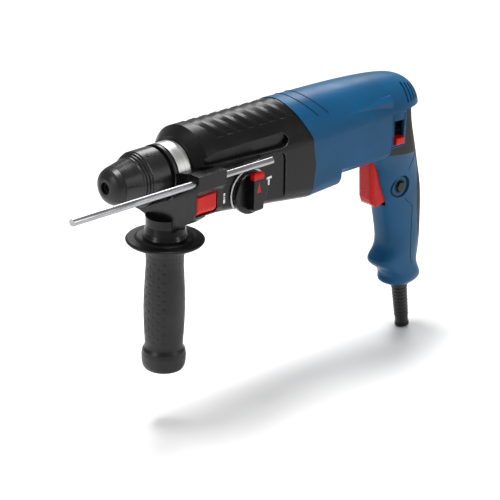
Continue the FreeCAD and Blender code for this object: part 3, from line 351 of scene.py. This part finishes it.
black_satin = moulded("black_satin", BLACK, 0.25, 900.0, 0.02 * MM, 0.3)
LOUVRE_Y, LOUVRE_Z = -18.3 * MM, -18.6 * MM
LOUVRE_WIDE, LOUVRE_THICK, LOUVRE_TALL = 1.1 * MM, 0.5 * MM, 21.0 * MM
for number, x in enumerate((311.4 * MM, 315.1 * MM)):
    let_go()
    bpy.ops.mesh.primitive_cube_add(size=1, location=(x, LOUVRE_Y, LOUVRE_Z))
    louvre = bpy.context.object
    louvre.scale = (LOUVRE_WIDE, LOUVRE_THICK, LOUVRE_TALL)
    bpy.ops.object.transform_apply(scale=True)
    bevel = louvre.modifiers.new("edge", "BEVEL")
    bevel.width = 0.2 * MM
    bevel.segments = 2
    bpy.ops.object.modifier_apply(modifier="edge")
    claim(louvre, f"louvre_{number + 1}", black_satin, "black_plastic", "housing")

# ---- soft grip -----------------------------------------------------------------------------------
# Thermoplastic rubber, moulded over the back of the handle and under the end of the barrel. It is
# dull, warm grey-black and finely grained.
soft_rubber = moulded("soft_rubber", (0.014, 0.0125, 0.0115), 0.6, 2000.0, 0.06 * MM, 0.25)
finish("soft_grip", soft_rubber)

# ---- lock-on button ------------------------------------------------------------------------------
# A small black nylon button in a round well on the side of the handle. The well has a black rim,
# and a ring groove is moulded round it in the blue, with painted shade along the groove.
WELL_R, WELL_RIM, GROOVE_R, GROOVE_RIM = 5.6 * MM, 0.75 * MM, 9.6 * MM, 0.85 * MM
WELL_FLOOR_Y, RING_POINTS = -18.4 * MM, 48
finish("lock_button", black_satin)
well_black = moulded("well_black", (0.004, 0.004, 0.004), 0.5, 900.0, 0.01 * MM, 0.3)
lock_low, lock_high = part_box("lock_button")
lock_x = (lock_low.x + lock_high.x) / 2
lock_z = (lock_low.z + lock_high.z) / 2
for name, reach, thick, material, slot in (
        ("lock_well", WELL_R, WELL_RIM, well_black, "black_plastic"),
        ("lock_groove_shade", GROOVE_R, GROOVE_RIM, seam_and_groove_shade, "blue_housing")):
    trail = []
    for step in range(RING_POINTS):
        angle = 2 * math.pi * step / RING_POINTS
        place = outermost("motor_housing", "handle_cover", lock_x + reach * math.cos(angle),
                          lock_z + reach * math.sin(angle), -1)
        trail.append(Vector((place.x, max(place.y, WELL_FLOOR_Y), place.z)))
    bead(name, trail, thick, material, slot, "housing", True)

# ---- trigger, reversing lever and release button -------------------------------------------------
# Red nylon, coloured through and polished in its moulds, so it is glossier than the housings. The
# knob's pointer and button are the same. The trigger has a darker, duller copy of the red, which is
# painted shade.
RED = (0.56, 0.0035, 0.0020)
red_gloss = moulded("red_gloss", RED, 0.25, 900.0, 0.01 * MM, 0.22)
# The trigger's darker red is painted shade.
shaded_trigger_red = moulded("shaded_trigger_red", (0.44, 0.0030, 0.0020), 0.3, 900.0, 0.01 * MM, 0.2)
finish("trigger", shaded_trigger_red)
finish("reversing_lever", red_gloss)
finish("selector_pointer", red_gloss)
finish("selector_button", red_gloss)

# The release button is a slightly dished thumb piece whose edges are rounded and whose foot curls in
# towards the clamp.
PRESS_ROUND, PRESS_DROP, PRESS_DISH = 1.2 * MM, 0.9 * MM, 0.3 * MM
CURL_SHARE, CURL_DEEP, SHOULDER_SHARE, SHOULDER_DROP = 0.34, 3.6 * MM, 0.8, 0.64 * MM
press_low, press_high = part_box("release_button")
let_go()
bpy.ops.mesh.primitive_grid_add(x_subdivisions=20, y_subdivisions=24, size=1)
press = bpy.context.object
WIDE, TALL = press_high.x - press_low.x, press_high.z - press_low.z
for vertex in press.data.vertices:
    across, up = vertex.co.x + 0.5, vertex.co.y + 0.5
    edge = min(across, 1 - across, 1 - up) * WIDE
    fall = (max(0.0, PRESS_ROUND - edge) / PRESS_ROUND) ** 2 * PRESS_DROP
    curl = (max(0.0, CURL_SHARE - up) / CURL_SHARE) ** 2 * CURL_DEEP
    dish = (1 - (2 * across - 1) ** 2) * PRESS_DISH
    lean = (1 - across) * max(0.0, up - SHOULDER_SHARE) / (1 - SHOULDER_SHARE) * SHOULDER_DROP
    vertex.co = (press_low.x + across * WIDE, press_low.y + fall + curl + dish,
                 press_low.z + up * TALL - lean)
let_go()
press.select_set(True)
bpy.context.view_layer.objects.active = press
bpy.ops.object.mode_set(mode="EDIT")
bpy.ops.mesh.select_all(action="SELECT")
bpy.ops.mesh.extrude_region_move(TRANSFORM_OT_translate={"value": (0, 0.1 * MM, 0)})
bpy.ops.object.mode_set(mode="OBJECT")
for vertex in press.data.vertices:
    if vertex.select:
        vertex.co.y = press_high.y
bpy.ops.object.mode_set(mode="EDIT")
bpy.ops.mesh.select_all(action="SELECT")
bpy.ops.mesh.normals_make_consistent(inside=False)
bpy.ops.object.mode_set(mode="OBJECT")
bpy.ops.object.shade_smooth_by_angle(angle=math.radians(40))
claim(press, "thumb_release", red_gloss, "red_plastic", "release_button", "release_button")

# ---- mode selector -------------------------------------------------------------------------------
# A black nylon knob turns on its shaft in the gear housing. Its raised bar carries a red pointer and
# a red button. Round it are a printed white arc and plain signs for drilling and chiselling.
finish("selector_knob", black_satin)
white_print = moulded("white_print", (0.80, 0.80, 0.80), 0.5, 900.0, 0.01 * MM, 0.3)
knob_low, knob_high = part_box("selector_knob")
KNOB_X = (knob_low.x + knob_high.x) / 2
KNOB_Z = -23.5 * MM
PRINT_Y = -32.9 * MM
PRINT_THICK = 0.16 * MM


def printed(name, width, height, x, z, lean):
    """A small printed patch just proud of the side panel: sizes in millimetres, lean in degrees."""
    let_go()
    bpy.ops.mesh.primitive_cube_add(size=1, location=(x * MM, PRINT_Y - PRINT_THICK / 2, z * MM))
    patch = bpy.context.object
    patch.scale = (width * MM, PRINT_THICK, height * MM)
    patch.rotation_euler = (0, math.radians(lean), 0)
    bpy.ops.object.transform_apply(location=True, rotation=True, scale=True)
    round_off = patch.modifiers.new("edge", "BEVEL")
    round_off.width = 0.05 * MM
    round_off.segments = 1
    bpy.ops.object.modifier_apply(modifier="edge")
    return claim(patch, name, white_print, "grey_plastic", "housing")


let_go()
ARC_R, ARC_WIDE, ARC_THICK, ARC_FROM, ARC_TO = 19.3 * MM, 1.3 * MM, 0.4 * MM, -14.0, 218.0
start = math.radians(ARC_FROM)
bpy.ops.mesh.primitive_plane_add(size=1)
arc = bpy.context.object
for vertex in arc.data.vertices:
    reach = ARC_R + vertex.co.x * ARC_WIDE
    vertex.co = (KNOB_X + reach * math.cos(start),
                 PRINT_Y - ARC_THICK / 2 + vertex.co.y * ARC_THICK,
                 KNOB_Z + reach * math.sin(start))
bpy.ops.object.mode_set(mode="EDIT")
bpy.ops.mesh.select_all(action="SELECT")
bpy.ops.mesh.spin(steps=72, angle=math.radians(ARC_TO - ARC_FROM),
                  center=(KNOB_X, 0, KNOB_Z), axis=(0, 1, 0))
bpy.ops.mesh.select_all(action="SELECT")
bpy.ops.mesh.normals_make_consistent(inside=False)
bpy.ops.object.mode_set(mode="OBJECT")
claim(arc, "mode_arc", white_print, "grey_plastic", "housing")
SIGNS = (("chisel_sign_head", 5.6, 1.9, 147.2, -17.2, -4), ("chisel_sign_stem", 1.7, 5.0, 146.9, -21.0, 2),
         ("hammer_sign_head", 4.8, 1.6, 133.2, 0.4, -4), ("hammer_sign_stem", 1.2, 2.6, 128.0, 0.0, 30),
         ("drill_sign_top", 1.9, 2.2, 97.0, -19.4, 0), ("drill_sign_middle", 1.5, 1.4, 97.0, -22.0, 0),
         ("drill_sign_foot", 1.9, 3.6, 97.0, -25.2, 0))
for sign in SIGNS:
    printed(*sign)

# ---- tool holder ---------------------------------------------------------------------------------
# The glossy nylon locking sleeve slides back on the spindle towards its fixed collar. The dust cap is
# rubber, pressed on in front. Four small raised arrows round the sleeve point to the nose.
holder_black = moulded("holder_black", (0.005, 0.005, 0.0053), 0.25, 700.0, 0.02 * MM, 0.45)
cap_rubber = moulded("cap_rubber", (0.006, 0.006, 0.006), 0.36, 1200.0, 0.03 * MM, 0.35)
finish("locking_sleeve", holder_black)
finish("chuck_collar", holder_black)
finish("dust_cap", cap_rubber)
SLEEVE_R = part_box("locking_sleeve")[1].z
ARROW_X, ARROW_R, ARROW_THICK, ARROW_SUNK = 36.4 * MM, 2.3 * MM, 0.5 * MM, 0.12 * MM
for number, angle in enumerate((20, 110, 200, 290)):
    let_go()
    bpy.ops.mesh.primitive_cylinder_add(vertices=3, radius=ARROW_R, depth=ARROW_THICK,
                                        location=(ARROW_X, 0, SLEEVE_R - ARROW_SUNK),
                                        rotation=(0, 0, math.radians(90)))
    arrow = bpy.context.object
    bpy.ops.object.transform_apply(location=True, rotation=True, scale=True)
    arrow.data.transform(Matrix.Rotation(math.radians(angle), 4, "X"))
    tip = arrow.modifiers.new("edge", "BEVEL")
    tip.width = 0.12 * MM
    tip.segments = 2
    bpy.ops.object.modifier_apply(modifier="edge")
    claim(arrow, f"sleeve_arrow_{number + 1}", well_black, "black_plastic", "sleeve")

# ---- side handle ---------------------------------------------------------------------------------
# The nylon clamp body is held to the neck by a bright rolled strap, and the grip screws up to tighten
# it. The grip is rubber with a disc at its top, round dimples front and back, and a bead at its end.
clamp_black = moulded("clamp_black", BLACK, 0.26, 1100.0, 0.02 * MM, 0.3)
finish("clamp_body", clamp_black)
grip_low, grip_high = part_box("side_grip")
GRIP_X = (grip_low.x + grip_high.x) / 2
GRIP_LINE = [(0.0, 0.0), (23.4, 0.0), (24.0, -0.3), (24.6, -1.2), (31.5, -1.8), (32.5, -3.0),
             (31.7, -4.6), (20.5, -7.6), (17.6, -10.0), (16.2, -14.0), (15.7, -19.0), (15.6, -25.0),
             (16.2, -36.0), (16.8, -48.0), (17.2, -63.0), (16.9, -74.0), (16.4, -85.0),
             (15.8, -94.5), (16.2, -97.6), (17.8, -100.2), (18.5, -104.5), (18.3, -110.4),
             (17.6, -114.0), (16.2, -116.6), (12.0, -118.0), (0.0, -118.0)]
ROUND_STEPS, GRIP_STEPS = 216, 230
DIMPLE_TOP, DIMPLE_FOOT, DIMPLE_R, DIMPLE_DEEP = -15.0, -94.0, 1.25, 0.55   # millimetres
DIMPLE_UP, DIMPLE_ACROSS, DIMPLED_HALF = 7.7, 15.2, 58.0                    # millimetres, degrees


def along_line(line, share):
    """A point at a share of the length of an outline."""
    runs = [math.dist(a, b) for a, b in zip(line, line[1:])]
    left = share * sum(runs)
    for a, b, run in zip(line, line[1:], runs):
        if left <= run or b == line[-1]:
            part = min(left / run, 1.0)
            return (a[0] + (b[0] - a[0]) * part, a[1] + (b[1] - a[1]) * part)
        left -= run


def dimple(angle, height, radius):
    """How far the rubber is dished at an angle in degrees and a height in millimetres."""
    if not DIMPLE_FOOT < height < DIMPLE_TOP:
        return 0.0
    turned = min(abs((angle + 180) % 360 - 180), abs(angle % 360 - 180))
    if turned > DIMPLED_HALF + 4:
        return 0.0
    column = round(angle / DIMPLE_ACROSS)
    deep = 0.0
    for near in (column - 1, column, column + 1):
        middle = near * DIMPLE_ACROSS
        swing = min(abs((middle + 180) % 360 - 180), abs(middle % 360 - 180))
        if swing > DIMPLED_HALF:
            continue
        shift = DIMPLE_UP / 2 if near % 2 else 0.0
        row = round((height - shift) / DIMPLE_UP) * DIMPLE_UP + shift
        if not DIMPLE_FOOT + 2 < row < DIMPLE_TOP - 2:
            continue
        away = math.hypot(math.radians(angle - middle) * radius, height - row)
        if away < DIMPLE_R:
            deep = max(deep, DIMPLE_DEEP * math.cos(away / DIMPLE_R * math.pi / 2))
    return deep


let_go()
bpy.ops.mesh.primitive_grid_add(x_subdivisions=ROUND_STEPS, y_subdivisions=GRIP_STEPS, size=1)
grip = bpy.context.object
for vertex in grip.data.vertices:
    angle = 360.0 * (vertex.co.x + 0.5)
    radius, height = along_line(GRIP_LINE, vertex.co.y + 0.5)
    if 8.0 < radius < 18.0:
        radius -= dimple(angle, height, radius)
    turn = math.radians(angle)
    vertex.co = (GRIP_X + radius * MM * math.cos(turn), radius * MM * math.sin(turn),
                 grip_high.z + height * MM)
let_go()
grip.select_set(True)
bpy.context.view_layer.objects.active = grip
bpy.ops.object.mode_set(mode="EDIT")
bpy.ops.mesh.select_all(action="SELECT")
bpy.ops.mesh.remove_doubles(threshold=0.001 * MM)
bpy.ops.mesh.normals_make_consistent(inside=False)
bpy.ops.object.mode_set(mode="OBJECT")
bpy.ops.object.shade_smooth_by_angle(angle=math.radians(50))
grip_rubber = moulded("grip_rubber", (0.006, 0.006, 0.0063), 0.42, 1600.0, 0.03 * MM, 0.35)
claim(grip, "dimpled_grip", grip_rubber, "black_plastic", "side_grip", "side_grip")

# ---- cord sleeve ---------------------------------------------------------------------------------
# The bend sleeve of soft rubber is held in the foot of the handle by its collars. A row of thin
# rings round it lets it flex, and it narrows to its end.
sleeve_rubber = moulded("sleeve_rubber", (0.006, 0.006, 0.006), 0.36, 1500.0, 0.03 * MM, 0.4)
finish("cord_sleeve", sleeve_rubber)
CORD_TOP, CORD_TIP = Vector((0.3500, 0, -0.1700)), Vector((0.3586, 0, -0.2220))
along_cord = (CORD_TIP - CORD_TOP).normalized()
lean = along_cord.to_track_quat("Z", "Y").to_euler()
SLEEVE_TOP_R, SLEEVE_NARROWS, RING_COUNT, RING_START, RING_PITCH = 7.2 * MM, 1.3 * MM, 9, 13.0, 3.6
for ring in range(RING_COUNT):
    share = (RING_START + RING_PITCH * ring) * MM
    radius = SLEEVE_TOP_R - SLEEVE_NARROWS * share / (CORD_TIP - CORD_TOP).length
    let_go()
    bpy.ops.mesh.primitive_torus_add(location=CORD_TOP + along_cord * share, rotation=lean,
                                     major_radius=radius, minor_radius=0.5 * MM,
                                     major_segments=48, minor_segments=8)
    flex = bpy.context.object
    bpy.ops.object.shade_smooth()
    claim(flex, f"flex_ring_{ring + 1}", sleeve_rubber, "black_rubber", "housing")

# ---- bright metal --------------------------------------------------------------------------------
# The depth rod is plated steel with ground teeth, the strap is rolled strip with its grain round the
# neck, and the spindle, hammer, gears and bearings inside are ground steel.


def metal(name, colour, rough, grain=900.0, stretch=(1, 1, 1)):
    """A worked metal: streaks along the way it was rolled, drawn or ground."""
    material, tree, shader = fresh_material(name)
    shader.inputs["Metallic"].default_value = 1.0
    streak = cloud(tree, grain, 2.0, stretch)
    tree.links.new(between(tree, streak, shaded(colour, 0.84), shaded(colour, 1.05)),
                   shader.inputs["Base Color"])
    tree.links.new(between(tree, streak, grey(rough - 0.06), grey(rough + 0.08)),
                   shader.inputs["Roughness"])
    emboss(tree, shader, streak, 0.008 * MM)
    return material


plated_rod = metal("plated_rod", (0.40, 0.40, 0.41), 0.2, 260.0, (0.15, 1, 1))
rolled_strip = metal("rolled_strip", (0.62, 0.62, 0.61), 0.36, 900.0, (1, 0.06, 0.06))
ground_steel = metal("ground_steel", (0.56, 0.56, 0.57), 0.28, 900.0, (0.2, 1, 1))
spring_wire = metal("spring_wire", (0.40, 0.40, 0.42), 0.3, 700.0)
cast_alloy = metal("cast_alloy", (0.60, 0.60, 0.62), 0.5, 500.0)
stacked_sheet = metal("stacked_sheet", (0.33, 0.33, 0.34), 0.45, 2500.0, (1, 0.02, 0.02))
copper_wire = metal("copper_wire", (0.60, 0.27, 0.11), 0.33, 1600.0, (0.1, 1, 1))
finish("depth_rod", plated_rod)
finish("clamp_strap", rolled_strip)
for node in ("hammer_tube", "spindle_gear", "clutch_plate", "locking_balls", "ball_retainer",
             "anvil", "striker", "piston_pin", "wobble_ring", "wobble_drum", "counter_shaft",
             "counter_gear", "counter_bearings", "armature_shaft", "spindle_front_bearing",
             "spindle_rear_bearing", "armature_front_bearing", "housing_screws", "clamp_bolt"):
    finish(node, ground_steel)
for node in ("clutch_spring", "holder_spring"):
    finish(node, spring_wire)
for node in ("bearing_carrier", "bearing_flange", "piston", "brush_holders"):
    finish(node, cast_alloy)
for node in ("stator_core", "armature_core"):
    finish(node, stacked_sheet)
for node in ("field_coils", "armature_windings", "commutator"):
    finish(node, copper_wire)

# ---- electrical and sealing parts ----------------------------------------------------------------
# Inside the shells are grey nylon mouldings, the brown phenolic board of the brush gear with its
# carbon blocks, and rubber seals pressed into their seats.
grey_nylon = moulded("grey_nylon", (0.22, 0.23, 0.24), 0.5)
brown_board = moulded("brown_board", (0.10, 0.05, 0.025), 0.55)
graphite = moulded("graphite", (0.03, 0.03, 0.032), 0.6)
seal_rubber = moulded("seal_rubber", (0.014, 0.014, 0.014), 0.55)
for node in ("air_baffle", "cooling_fan", "switch_body", "electronics_module", "capacitor",
             "cable_clamp"):
    finish(node, grey_nylon)
finish("brush_plate", brown_board)
finish("carbon_brushes", graphite)
finish("striker_seal", seal_rubber)
finish("shaft_seal", seal_rubber)
finish("armature_rear_bearing", ground_steel)
